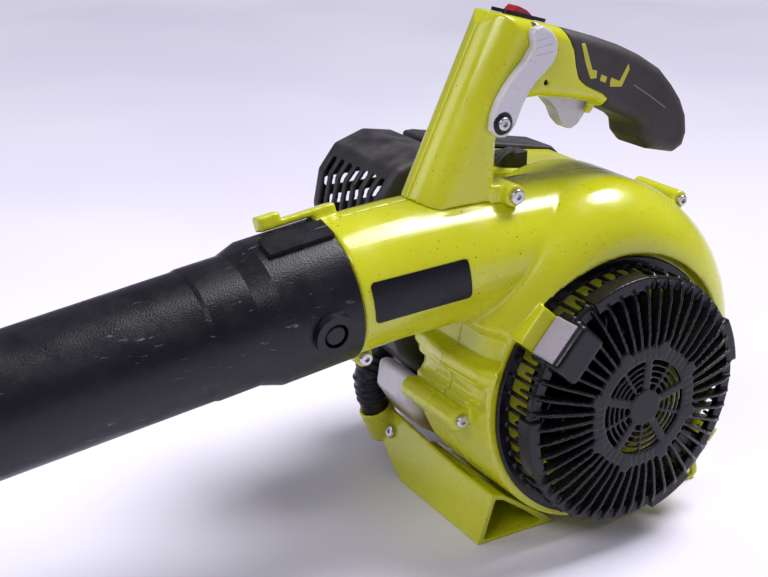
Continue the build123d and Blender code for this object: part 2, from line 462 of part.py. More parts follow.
# socket for the lower hand grip in the plate's upper corner
GY = -122.4
gp = [(78, GY, 24), (90, GY, 51), (95, GY, 74), (84, GY, 93), (65, GY, 99)]
gd = (Vector(*gp[1]) - Vector(*gp[0])).normalized()
fb = fb + cyl(Vector(*gp[0]) - gd * 3, gd, 13.8, 27)
fb = fb + cyl((LEAN * Pos(-9, -104, 31)).position, (LEAN * Pos(-8, -104, 31)).position - (LEAN * Pos(-9, -104, 31)).position, 6.0, 8)
fb = fb - cyl(gp[0], gd, 11.1, 40)
fb = fb - spl(scroll(-0.25), -50.2, 62) - cyl((0, -60, ZF), (0, 1, 0), 101.3, 120)
fb = fb - cyl((BOSS_C[0], -40, BOSS_C[2]), (0, 1, 0), 8.3, 80)
p0 = (LEAN * Pos(0.05, -104, 31)).position
pdir = ((LEAN * Pos(1.05, -104, 31)).position - p0).normalized()
fb = fb - cyl(p0 - pdir * 20, pdir, 2.1, 30) - cyl(p0 + pdir * 0.02, pdir, 5.3, 9)
put("base_frame", biggest(fb))
screws.append(screw(tuple(p0), tuple(pdir), head_r=5.0, head_h=3.2, shank_l=9))
# lower hand grip: a bent tube with ribs in front of the tank
path = FilletPolyline(*gp, radius=12)
lg = sweep(Plane(origin=gp[0], z_dir=tuple(gd)) * Circle(10.9), path=path)
ribs = []
for k in range(7):
    u = 0.36 + k * 0.062
    o = path.position_at(u)
    t = path.tangent_at(u)
    ribs.append(Plane(origin=tuple(o - t * 1.3), z_dir=tuple(t)) * (Cylinder(12.2, 2.6, align=MIN)))
lg = lg.fuse(*ribs)
put("lower_handle", biggest(lg))

tk = [(-78, 28), (46, 28), (60, 40), (60, 64), (-78, 64)]
tf = [(20, 28), (46, 28), (82, 51), (98, 76), (95, 97), (86, 96), (58, 64), (20, 64)]
tank = prof(tk, -134, -58, 8)
tank = soften(tank, tank.faces().filter_by(Axis.Y).edges(), [7.5, 6, 4])
tfr = prof(tf, -106, -58, 4)
tfr = soften(tfr, tfr.faces().filter_by(Axis.Y).edges(), [12, 9, 7, 5, 3.5])
tank = tank + tfr
tki = [(-75.2, 30.8), (45, 30.8), (57.2, 41.4), (57.2, 61.2), (-75.2, 61.2)]
tfi = [(22, 30.8), (45.2, 30.8), (79.8, 53), (95, 76.6), (92.6, 93.6), (87.4, 93), (59.4, 61.2), (22, 61.2)]
tin = prof(tki, -131.2, -60.8, 5)
tin = soften(tin, tin.faces().filter_by(Axis.Y).edges(), [4.5, 3, 2])
tfn = prof(tfi, -103.2, -60.8, 2)
tfn = soften(tfn, tfn.faces().filter_by(Axis.Y).edges(), [9, 6, 4, 2])
tin = tin + tfn
fd = Vector(-0.5, 0, 0.8660254)
nb0 = Vector(-64, -96, 54)
tank = tank + cyl(nb0, fd, 14, 30)
tank = tank - tin - cyl(nb0 - fd * 4, fd, 11.5, 40)
put("fuel_tank", biggest(tank))
cap = cyl(nb0 + fd * 16.0, fd, 18.5, 24)
cap = cap - cyl(nb0 + fd * 14, fd, 14.35, 16.25)
ex = Vector(0, 1, 0)
ey = fd.cross(ex)
for k in range(18):
    a = k * 20.0
    c = nb0 + ex * (19.6 * math.cos(math.radians(a))) + ey * (19.6 * math.sin(math.radians(a)))
    cap = cap - cyl(c + fd * 8, fd, 1.9, 40)
cap = cap + cyl(nb0 + fd * 14.0, fd, 11.2, 16.5)
put("fuel_cap", cap)

# ---------------------------------------------------------------- engine
CY = -98.0          # cylinder axis y
cc = prof([(-36, ZF - 36), (36, ZF - 36), (36, ZF + 38), (-36, ZF + 38)], -132, -64.2, 8) - cyl((0, -121, ZF), (0, 1, 0), 31, 46)
cc = cc - cyl((0, CY, ZF), (0, 0, 1), 17.6, 60)
cc = cc - cyl((0, -140, ZF), (0, 1, 0), 8.4, 90)
cc = cc - cyl((0, -75.0, ZF), (0, 1, 0), 16.0, 9.0) - cyl((0, -130, ZF), (0, 1, 0), 16.0, 9.2)
for x, z in ((-30, ZF - 30), (30, ZF - 30), (-30, ZF + 30), (30, ZF + 30)):
    cc = cc - cyl((x, -134, z), (0, 1, 0), 2.6, 75)
cc = cc - tin
cc = cc - prof([(-90, 20), (120, 20), (120, 76.8), (-90, 76.8)], -140, -50)
put("crankcase", biggest(cc))
put("crank_bearings", [ring((0, -75.0, ZF), (0, 1, 0), 16.0, 7.56, 9.0), ring((0, -130.0, ZF), (0, 1, 0), 16.0, 7.56, 9.0)])
cylb = cyl((0, CY, ZF + 38.1), (0, 0, 1), 24, 64)
for k in range(8):
    cylb = cylb + box(-41, 41, CY - 39, CY + 39, ZF + 48 + k * 6.6, ZF + 50.2 + k * 6.6)
cylb = cylb + box(-30, 30, CY - 30, CY + 30, ZF + 38.1, ZF + 44)
cylb = cylb + box(20, 44, CY - 20, CY + 20, ZF + 52, ZF + 84) + box(-44, -20, CY - 18, CY + 18, ZF + 54, ZF + 86)
cylb = cylb - cyl((0, CY, ZF + 30), (0, 0, 1), 17.0, 66)
cylb = cylb - cyl((10, CY, ZF + 68), (1, 0, 0), 8, 40) - cyl((-50, CY, ZF + 70), (1, 0, 0), 7, 40)
PLD = Vector(-0.7, 0, 0.714143)
PL0 = Vector(-4, CY, ZF + 92)
cylb = cylb - cyl(PL0 - PLD * 6, PLD, 4.55, 40) - cyl(PL0 + PLD * 11.4, PLD, 11.5, 60)
put("cylinder", biggest(cylb))
pst = cyl((0, CY, ZF + 57), (0, 0, 1), 16.93, 27) - cyl((0, CY, ZF + 55), (0, 0, 1), 13.6, 24.5)
for z in (77.0, 81.0):
    pst = pst - ring((0, CY, ZF + z), (0, 0, 1), 18, 15.8, 1.3)
pst = pst - cyl((0, CY - 30, ZF + 65), (0, 1, 0), 4.5, 60)
put("piston", pst)
put("wrist_pin", cyl((0, CY - 15, ZF + 65), (0, 1, 0), 4.45, 30))
plug = cyl(PL0 - PLD * 5, PLD, 4.5, 17) + (Plane(origin=tuple(PL0 + PLD * 11.5), z_dir=tuple(PLD)) * extrude(RegularPolygon(8.0, 6), 8)) + cyl(PL0 + PLD * 19, PLD, 5.2, 6)
put("spark_plug", plug)
bt = cyl(PL0 + PLD * 20.0, PLD, 9.0, 15) - cyl(PL0 + PLD * 18, PLD, 5.25, 7.2)
LE = PL0 + PLD * 29.0
# crankshaft with web and crank pin
CPX = 13.0
crank = cyl((0, -162, ZF), (0, 1, 0), 5.0, 10) + cyl((0, -156, ZF), (0, 1, 0), 7.5, 40)
crank = crank + (Plane(origin=(0, -157.8, ZF), z_dir=(0, 1, 0)) * extrude(RegularPolygon(9.5, 6), 5.6))
crank = crank + cyl((0, -118, ZF), (0, 1, 0), 28, 12) + cyl((0, -90, ZF), (0, 1, 0), 28, 12)
crank = crank + cyl((0, -108, ZF + CPX), (0, 1, 0), 6.5, 20)
crank = crank + cyl((0, -79, ZF), (0, 1, 0), 7.5, 45) + cyl((0, -36, ZF), (0, 1, 0), 5.0, 30)
put("crankshaft", crank)
# impeller: back plate, hub and curved blades
imp = cyl((0, -41, ZF), (0, 1, 0), 87, 2.6) + cyl((0, -43, ZF), (0, 1, 0), 17, 24) + cone((0, -38.6, ZF), (0, 1, 0), 40, 17, 12)
blades = []
NB = 12
for i in range(NB):
    pts_o, pts_i = [], []
    for k in range(7):
        u = k / 6.0
        r = 34 + u * 51
        a = math.radians(360.0 / NB * i - 38 * u)
        t = 1.15
        nx, nz = -math.sin(a), math.cos(a)
        pts_o.append((r * math.cos(a) + nx * t, ZF + r * math.sin(a) + nz * t))
        pts_i.append((r * math.cos(a) - nx * t, ZF + r * math.sin(a) - nz * t))
    blades.append(prof(pts_o + pts_i[::-1], -38.8, 26))
imp = imp.fuse(*blades)
imp = imp - cyl((0, -50, ZF), (0, 1, 0), 7.5, 16) - cyl((0, -50, ZF), (0, 1, 0), 5.0, 80)
put("impeller", biggest(imp))
nut = Plane(origin=(0, -18.9, ZF), z_dir=(0, 1, 0)) * extrude(RegularPolygon(9.5, 6), 8) - cyl((0, -20, ZF), (0, 1, 0), 5.0, 12)
put("impeller_nut", nut)
# flywheel with cooling vanes
fw = cyl((0, -152, ZF), (0, 1, 0), 44, 12)
vanes = []
for i in range(14):
    a = 360.0 / 14 * i
    vanes.append(Pos(0, 0, ZF) * Rot(0, a, 0) * Pos(0, 0, -ZF) * box(22, 42, -157, -151.5, ZF - 1.1, ZF + 1.1))
fw = fw.fuse(*vanes) - cyl((0, -160, ZF), (0, 1, 0), 7.5, 40)
fw = fw + (box(-34, -27, -156.5, -151.5, ZF - 5, ZF + 5) - cyl((0, -170, ZF), (0, 1, 0), 20, 40))
put("flywheel", biggest(fw))
# ignition coil over the flywheel
coil = box(-20, 20, -152, -138, ZF + 46.2, ZF + 52) - cyl((0, -160, ZF), (0, 1, 0), 45.6, 40)
coil = coil + box(-12, 12, -151, -137, ZF + 51.9, ZF + 74)
put("ignition_coil", coil)
lead_pts = [(0, -145, ZF + 74.2), (0, -145, ZF + 92), (LE.X + 9, -139, LE.Z), (LE.X, -120, LE.Z), (LE.X, -104, LE.Z)]
lead = tube_along(lead_pts, arcs(lead_pts), 3.0)
put("ignition_lead", biggest(lead + bt + cyl((LE.X, -112, LE.Z), (0, 1, 0), 5.4, 6.3)))
# carburettor side (rear)
ins = box(-53, -44.1, CY - 18, CY + 18, ZF + 55, ZF + 85) - cyl((-60, CY, ZF + 70), (1, 0, 0), 7, 30)
put("intake_insulator", ins)
cb = box(-84, -53.1, CY - 17, CY + 17, ZF + 54, ZF + 88) - cyl((-90, CY, ZF + 70), (1, 0, 0), 7, 50) - cyl((-68, CY - 30, ZF + 70), (0, 1, 0), 2.55, 60)
cb = soften(cb, cb.edges().filter_by(Axis.X), [3, 2])
cb = cb + box(-82, -56, CY - 14, CY + 14, ZF + 46, ZF + 54.5)
put("carburettor", biggest(cb))
ts = cyl((-68, CY - 22, ZF + 70), (0, 1, 0), 2.5, 46)
ts = ts + cyl((-68, CY, ZF + 70) , (1, 0, 0), 6.8, 0.8)
arm = box(-71, -65, CY + 20.0, CY + 23, ZF + 70, ZF + 86)
put("throttle_shaft", ts + arm)
af = box(-90, -84.1, CY - 38, CY + 38, ZF + 42, ZF + 100) - cyl((-100, CY, ZF + 70), (1, 0, 0), 12, 30)
put("air_filter_base", af)
put("air_filter_element", box(-106, -90.1, CY - 30, CY + 30, ZF + 47, ZF + 95) - box(-100, -89, CY - 14, CY + 14, ZF + 58, ZF + 82))
ac = prof([(-118, ZF + 46), (-118, ZF + 92), (-112, ZF + 102.4), (-84.3, ZF + 102.4), (-84.3, ZF + 39.6), (-112, ZF + 39.6)], CY - 41, CY + 41, 5)
ac = soften(ac, ac.faces().filter_by(Axis.Y).edges(), [5, 3])
ac = ac - box(-114.8, -80, CY - 38.3, CY + 38.3, ZF + 41.7, ZF + 100.3)
ac = ac - cyl((-130, CY, ZF + 70), (1, 0, 0), 4.2, 30)
for k in range(6):
    ac = ac - box(-130, -100, CY - 34 , CY - 12, ZF + 50 + k * 7.2, ZF + 52.6 + k * 7.2)
    ac = ac - box(-130, -100, CY + 12, CY + 34, ZF + 50 + k * 7.2, ZF + 52.6 + k * 7.2)
put("air_filter_cover", biggest(ac))
kb = cyl((-127, CY, ZF + 70), (1, 0, 0), 9.0, 8.6)
for k in range(8):
    a = math.radians(45 * k)
    kb = kb - cyl((-130, CY + 10.4 * math.cos(a), ZF + 70 + 10.4 * math.sin(a)), (1, 0, 0), 2.6, 20)
kb = kb + cyl((-119, CY, ZF + 70), (1, 0, 0), 3.9, 12.6)
put("filter_knob", kb)
# choke lever on the right side of the air box, primer bulb below it
chp = Vector(-94, CY - 41.3, ZF + 86)
ck = cyl(chp, (0, -1, 0), 6.5, 4) + box(chp.X - 26, chp.X, chp.Y - 4, chp.Y, chp.Z - 3, chp.Z + 3) + box(chp.X - 27, chp.X - 21, chp.Y - 9, chp.Y, chp.Z - 4, chp.Z + 4)
ck = ck + cyl(chp + Vector(0, 8.0, 0), (0, -1, 0), 2.5, 9)
put("choke_lever", ck)
ac2 = made["air_filter_cover"] - cyl(chp + Vector(0, 12, 0), (0, -1, 0), 2.56, 20)
pbp = Vector(-99, CY - 41.0, ZF + 56)
ac2 = ac2 - cyl(pbp + Vector(0, 12, 0), (0, -1, 0), 8.6, 20)
put("air_filter_cover", biggest(ac2))
afb = made["air_filter_base"] - cyl(chp + Vector(0, 12, 0), (0, -1, 0), 2.9, 20)
put("air_filter_base", biggest(afb))
afe = made["air_filter_element"] - cyl(chp + Vector(0, 14, 0), (0, -1, 0), 2.9, 20)
put("air_filter_element", biggest(afe))
pb = cyl(pbp + Vector(0, 6.2, 0), (0, -1, 0), 8.2, 12.8)
pb = soften(pb, pb.edges().sort_by(Axis.Y)[0:1], [6.5, 5, 4])
put("primer_bulb", pb)
# fuel lines
fl1 = [(-66, CY + 7, ZF + 45.8), (-66, CY + 7, ZF + 26), (-43.5, CY + 7, ZF - 8), (-43.5, CY + 7, 64.2)]
f1 = tube_along(fl1, arcs(fl1), 2.4)
fl2 = [(-60, CY - 7, ZF + 45.8), (-60, CY - 7, ZF + 26), (-43.5, CY - 7, ZF - 2), (-43.5, CY - 7, 64.2)]
f2 = tube_along(fl2, arcs(fl2), 2.4)
put("fuel_lines", [f1, f2])
# muffler side (front)
mf = box(48, 104, CY - 30, CY + 30, ZF + 40, ZF + 106)
mf = soften(mf, mf.edges(), [8, 6, 4])
mf = mf + box(44.1, 49, CY - 18, CY + 18, ZF + 54, ZF + 82)
mf = mf - (box(51, 101, CY - 27, CY + 27, ZF + 43, ZF + 103)) - cyl((40, CY, ZF + 68), (1, 0, 0), 8, 12)
mf = mf - cyl((76, CY - 40, ZF + 60), (0, 1, 0), 6, 20)
put("muffler", biggest(mf))
mc_o = [(46, 250), (60, 262), (84, 266), (108, 258), (122, 240), (127, 214), (122, 176), (113, 140), (103, 117), (62, 71), (46, 70)]
mc_i = [(45, 249), (60.5, 259), (84, 263), (106, 255.5), (119.3, 239), (124, 214), (119, 177), (110, 141), (100.8, 119), (60.6, 74), (45, 73)]
mc = prof(mc_o, -152, -57.0, 4)
mc = soften(mc, mc.faces().filter_by(Axis.Y).edges(), [6, 4, 3])
mc = mc - (Pos(0, 0, 0) * prof(mc_i, -149.2, -59.8))
mc = mc - box(40, 50, -148, -60, 112, 252)
mc = mc - cyl((0, -162, ZF), (0, 1, 0), 66.6, 28.6)
mc = mc - duct(DUCT_R + 0.6, x_start=20) - spl(scroll(-0.4), -50.4, 62)
# cooling slots: over the front shoulder and down the right side
for k in range(7):
    mc = mc - box(96, 140, -140 + k * 11.5, -134 + k * 11.5, 208, 250)
for k in range(6):
    mc = mc - box(60, 116, -160, -140, 150 + k * 15, 157 + k * 15)
mc = mc - mf
lg_room = sweep(Plane(origin=gp[0], z_dir=tuple(gd)) * Circle(12.5), path=path)
mc = mc - lg_room - box(40, 75, -137, -111.4, 86, 112)
put("muffler_cover", biggest(mc))
# lime top shroud over the cylinder
sh = prof([(45.2, 214), (45.2, 248), (36, 251), (-70, 236), (-82, 226), (-82, 214)], -118, -51.4, 3)
sh = soften(sh, sh.faces().sort_by(Axis.Y)[-1].edges(), [4, 3, 2])
sh = sh - prof([(46.4, 210), (46.4, 246), (36, 248), (-69, 233.2), (-79, 224), (-79, 210)], -118.1, -54.2)
sh = sh - spl(scroll(-0.4), -50.4, 62) - duct(DUCT_R + 0.6, x_start=-8)
sh = sh - cyl((8, -62, 200), (0, 0, 1), 6.0, 80)
put("engine_shroud", biggest(sh))
# dark rear and right engine cover
ec = prof([(45.0, 200), (45.0, 258), (36, 258), (-74, 238), (-92, 222), (-92, 216.0), (-80, 216.0), (-80, 200)], -156, -118.2, 3)
ec = soften(ec, ec.faces().filter_by(Axis.Y).edges(), [3, 2])
ec = ec - prof([(46.6, 190), (46.6, 255), (35.5, 255), (-73, 235), (-83, 226), (-83, 190)], -153, -118.1)
ec = ec - box(-91.9, -79, -140, -119, 190, 215.9)
for k in range(7):
    ec = ec - box(-66 + k * 14, -58 + k * 14, -160, -150, 206, 228 + k * 2)
ec = ec - cyl((0, -190, ZF), (0, 1, 0), 66.6, 60)
put("engine_top_cover", biggest(ec))

# ---------------------------------------------------------------- recoil starter (right side)
stp = cyl((0, -186, ZF), (0, 1, 0), 66, 52) - cyl((0, -183, ZF), (0, 1, 0), 63, 60)
stp = soften(stp, stp.faces().sort_by(Axis.Y)[0].edges(), [6, 4, 2])
for i in range(12):
    a = 30.0 * i
    stp = stp - (Pos(0, 0, ZF) * Rot(0, a, 0) * Pos(0, 0, -ZF) * box(38, 57, -190, -180, ZF - 3.6, ZF + 3.6))
stp = stp + cyl((0, -184, ZF), (0, 1, 0), 4.4, 16)
for a in (45, 135, 225, 315):
    ca, sa = math.cos(math.radians(a)), math.sin(math.radians(a))
    stp = stp + cyl((70 * ca, -142, ZF + 70 * sa), (0, 1, 0), 7, 9) - cyl((70 * ca, -150, ZF + 70 * sa), (0, 1, 0), 2.1, 30)
# rope outlet: a boss on the upper rear edge; the rope leaves tangentially
PR = 25.0                               # radius the rope winds on
RD = Vector(-math.sin(math.radians(35)), 0, math.cos(math.radians(35)))   # direction of pull, up and rearwards
RP = Vector(PR * math.cos(math.radians(35)), -169.0, ZF + PR * math.sin(math.radians(35)))  # where it leaves the pulley
ex_t = 56.0
stp = stp + cyl(RP + RD * (ex_t - 6), RD, 9, 16) - cyl(RP + RD * 20, RD, 3.2, 60)
stp = stp - cyl((0, -140, ZF), (0, 1, 0), 53.0, 10)
stp = stp - box(-45, 45, -156, -130, ZF + 40, ZF + 80)
stp = stp - box(-90, 90, -156, -130, ZF - 80, ZF - 33)
put("starter_housing", biggest(stp))
pul = cyl((0, -173, ZF), (0, 1, 0), 29, 8.0) - ring((0, -170.8, ZF), (0, 1, 0), 31, 23.2, 3.6)
pul = pul + cyl((0, -165.1, ZF), (0, 1, 0), 15, 5) - cyl((0, -190, ZF), (0, 1, 0), 4.46, 22) - cyl((0, -168, ZF), (0, 1, 0), 5.3, 20)
pul = pul - cyl((0, -168, ZF), (0, 1, 0), 7.9, 20)
put("starter_pulley", biggest(pul))
rs = ring((0, -178.4, ZF), (0, 1, 0), 27, 10, 4.6)
for r in (13, 16.5, 20, 23.5):
    rs = rs - ring((0, -176.6, ZF), (0, 1, 0), r + 0.9, r, 4)
put("recoil_spring", rs)
rope0 = RP + RD * 24.0
rope = cyl(RP + RD * 26, RD, 1.9, ex_t + 12 - 26)
put("starter_rope", rope)
G0 = RP + RD * (ex_t + 10.4)
gx = Vector(math.cos(math.radians(35)), 0, math.sin(math.radians(35)))
GP = Plane(origin=tuple(G0), x_dir=tuple(gx), z_dir=tuple(RD))
gr = GP * Cylinder(8.0, 8.0, align=MIN) + GP * (Pos(0, 0, 7) * Box(46, 15, 13, align=MIN))
gr = soften(gr, gr.edges().filter_by(Axis(tuple(G0), tuple(RD))), [5, 3, 2])
gr = gr - GP * (Pos(0, 0, -1) * Cylinder(2.1, 4.0, align=MIN))
put("starter_grip", gr)
st_screws = []
for a in (45, 135, 225, 315):
    ca, sa = math.cos(math.radians(a)), math.sin(math.radians(a))
    st_screws.append(screw((70 * ca, -142, ZF + 70 * sa), (0, -1, 0), head_r=4.0, head_h=2.8, shank_r=2.0, shank_l=8.5))

# ---------------------------------------------------------------- throttle cable: trigger to carburettor
tc = [(84, -8, 273), (62, -12, 266), (36, -34, 267), (12, -56, 261), (4, -63, 240), (-18, -72, 223), (-46, -76.5, 221), (-65, -76.5, 204)]
cable = tube_along(tc, arcs(tc), 2.5)
print("cable", round(cable.volume / (math.pi * 6.25), 1), [round(r, 1) for r in arcs(tc)])
grom = box(-2, 22, -70, -54, 240, 258)
grom = soften(grom, grom.edges().filter_by(Axis.Z), [3, 2])
grom = grom - prof([(-100, 190), (-100, 230), (-82, 226.3), (-70, 236.4), (36, 251.4), (60, 254.8), (60, 190)], -80, -40)
put("throttle_cable", biggest(cable + grom))
# blank badge panel on the outlet duct
bd = (duct(46.2, x_start=60) - duct(45.62, x_start=50)) & prof([(113, 199.5), (117, 226.5), (188.0, 222.5), (184.0, 195.5)], 5, 60, 3)
put("badge_panel", biggest(bd))
put("housing_screws", screws)
put("starter_screws", st_screws)
eb = []
for x, z in ((-30, ZF - 30), (30, ZF - 30), (-30, ZF + 30), (30, ZF + 30)):
    eb.append(cyl((x, -132.2 + 0.0, z), (0, 1, 0), 2.5, 84) + (Plane(origin=(x, -132.1, z), z_dir=(0, -1, 0)) * extrude(RegularPolygon(5.0, 6), 4)))
put("engine_bolts", eb)

# overall size
bb = Compound(children=[s for n in made.values() for s in n.solids()]).bounding_box()
print("nodes", len(made), "box", tuple(round(v, 1) for v in bb.min), tuple(round(v, 1) for v in bb.max))
print("exit", tuple(round(v, 2) for v in OUT), "tip", tuple(round(v, 2) for v in on_axis(NZ0 + 54 + NOZ_L - 40 + 36)))
print("hinge", tuple(round(v, 3) for v in HP), tuple(round(v, 4) for v in h_t), "latch", tuple(round(v, 4) for v in lat_d))
print("rope", tuple(round(v, 3) for v in RP), tuple(round(v, 4) for v in RD), "cap", tuple(round(v, 4) for v in nb0), tuple(round(v, 4) for v in fd))
print("rocker", tuple(round(v, 3) for v in RKP), "button", tuple(round(v, 4) for v in bdir), "plug", tuple(round(v, 3) for v in PL0))
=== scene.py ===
import bpy, bmesh, json, math, random
from mathutils import Vector, Matrix, noise
from mathutils.bvhtree import BVHTree

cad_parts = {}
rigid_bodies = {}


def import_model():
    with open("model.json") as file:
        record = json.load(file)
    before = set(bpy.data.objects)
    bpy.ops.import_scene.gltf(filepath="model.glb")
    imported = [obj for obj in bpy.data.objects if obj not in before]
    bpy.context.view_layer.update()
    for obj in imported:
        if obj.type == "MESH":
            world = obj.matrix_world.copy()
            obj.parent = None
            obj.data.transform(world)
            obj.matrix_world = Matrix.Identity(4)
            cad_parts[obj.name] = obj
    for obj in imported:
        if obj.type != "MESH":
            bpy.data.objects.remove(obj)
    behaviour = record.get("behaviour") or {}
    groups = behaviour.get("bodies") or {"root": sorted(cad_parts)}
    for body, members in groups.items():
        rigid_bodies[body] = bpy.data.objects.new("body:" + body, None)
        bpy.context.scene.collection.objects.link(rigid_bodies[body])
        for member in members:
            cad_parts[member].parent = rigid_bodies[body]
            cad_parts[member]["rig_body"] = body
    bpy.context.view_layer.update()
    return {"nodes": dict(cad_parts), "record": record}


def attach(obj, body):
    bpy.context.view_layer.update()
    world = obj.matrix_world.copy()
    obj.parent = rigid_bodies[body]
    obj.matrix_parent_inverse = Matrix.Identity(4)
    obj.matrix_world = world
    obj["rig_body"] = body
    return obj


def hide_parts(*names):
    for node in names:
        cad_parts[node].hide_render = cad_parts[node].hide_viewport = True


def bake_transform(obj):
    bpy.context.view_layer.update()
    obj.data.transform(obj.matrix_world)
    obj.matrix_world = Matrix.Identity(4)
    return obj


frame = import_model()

N = frame["nodes"]
scene = bpy.context.scene
scene.view_settings.view_transform = "Standard"
scene.view_settings.look = "None"
scene.view_settings.exposure = 0.0
RND = random.Random(7)


# ---------------------------------------------------------------- camera
AZ, EL, ROLL, FPX = math.radians(149.357), math.radians(20.902), math.radians(0.255), 1294.96
back = Vector((math.sin(AZ) * math.cos(EL), -math.cos(AZ) * math.cos(EL), math.sin(EL)))
right = (-back).cross(Vector((0, 0, 1))).normalized()
up = right.cross(-back)
r2 = right * math.cos(ROLL) + up * math.sin(ROLL)
u2 = -right * math.sin(ROLL) + up * math.cos(ROLL)
cam_data = bpy.data.cameras.new("camera")
cam_data.sensor_fit = "HORIZONTAL"
cam_data.sensor_width = 36.0
cam_data.lens = FPX / 768.0 * 36.0
cam_data.clip_start, cam_data.clip_end = 0.02, 50.0
cam = bpy.data.objects.new("camera", cam_data)
scene.collection.objects.link(cam)
m = Matrix.Identity(4)
for i, v in enumerate((r2, u2, back)):
    m[0][i], m[1][i], m[2][i] = v.x, v.y, v.z
m[0][3], m[1][3], m[2][3] = 0.556176, 0.681554, 0.500839
cam.matrix_world = m
scene.camera = cam


# ---------------------------------------------------------------- materials
def new_mat(name):
    mt = bpy.data.materials.new(name)
    mt.use_nodes = True
    nt = mt.node_tree
    nt.nodes.clear()
    out = nt.nodes.new("ShaderNodeOutputMaterial")
    b = nt.nodes.new("ShaderNodeBsdfPrincipled")
    nt.links.new(b.outputs["BSDF"], out.inputs["Surface"])
    tc = nt.nodes.new("ShaderNodeTexCoord")
    return mt, nt, b, tc.outputs["Object"]


def nz(nt, co, scale, detail=3.0, rough=0.55, stretch=None, dist=0.0):
    n = nt.nodes.new("ShaderNodeTexNoise")
    n.inputs["Scale"].default_value = scale
    n.inputs["Detail"].default_value = detail
    n.inputs["Roughness"].default_value = rough
    n.inputs["Distortion"].default_value = dist
    if stretch:
        mp = nt.nodes.new("ShaderNodeMapping")
        mp.inputs["Scale"].default_value = stretch[0:3]
        if len(stretch) > 3:
            mp.inputs["Rotation"].default_value = stretch[3:6]
        nt.links.new(co, mp.inputs["Vector"])
        co = mp.outputs["Vector"]
    nt.links.new(co, n.inputs["Vector"])
    return n.outputs["Fac"]


def ramp(nt, fac, a, b, lo=0.0, hi=1.0):
    r = nt.nodes.new("ShaderNodeMapRange")
    r.interpolation_type = "SMOOTHSTEP"
    r.inputs["From Min"].default_value, r.inputs["From Max"].default_value = a, b
    r.inputs["To Min"].default_value, r.inputs["To Max"].default_value = lo, hi
    nt.links.new(fac, r.inputs["Value"])
    return r.outputs["Result"]


def mixc(nt, fac, a, b):
    x = nt.nodes.new("ShaderNodeMix")
    x.data_type = "RGBA"
    for sock, v in ((x.inputs[0], fac), (x.inputs[6], a), (x.inputs[7], b)):
        if isinstance(v, (tuple, list)):
            sock.default_value = (v[0], v[1], v[2], 1.0)
        elif isinstance(v, (int, float)):
            sock.default_value = v
        else:
            nt.links.new(v, sock)
    return x.outputs[2]


def mth(nt, op, a, b=None):
    x = nt.nodes.new("ShaderNodeMath")
    x.operation = op
    for i, v in enumerate((a, b)):
        if v is None:
            continue
        if isinstance(v, (int, float)):
            x.inputs[i].default_value = v
        else:
            nt.links.new(v, x.inputs[i])
    return x.outputs[0]


def specks(nt, co, scale, size, seed=0.0):
    """Small round specks, a few a square centimetre."""
    v = nt.nodes.new("ShaderNodeTexVoronoi")
    v.inputs["Scale"].default_value = scale
    v.inputs["Randomness"].default_value = 1.0
    mp = nt.nodes.new("ShaderNodeMapping")
    mp.inputs["Location"].default_value = (seed, seed * 0.7, seed * 1.3)
    nt.links.new(co, mp.inputs["Vector"])
    nt.links.new(mp.outputs["Vector"], v.inputs["Vector"])
    d = ramp(nt, v.outputs["Distance"], size * 0.55, size, 1.0, 0.0)
    # only some cells carry one
    w = nt.nodes.new("ShaderNodeTexWhiteNoise")
    nt.links.new(v.outputs["Position"], w.inputs["Vector"])
    keep = ramp(nt, w.outputs["Value"], 0.28, 0.32)
    return mth(nt, "MULTIPLY", d, keep)


def bump(nt, b, height, strength, dist=0.0006):
    n = nt.nodes.new("ShaderNodeBump")
    n.inputs["Strength"].default_value = strength
    n.inputs["Distance"].default_value = dist
    nt.links.new(height, n.inputs["Height"])
    nt.links.new(n.outputs["Normal"], b.inputs["Normal"])
    return n


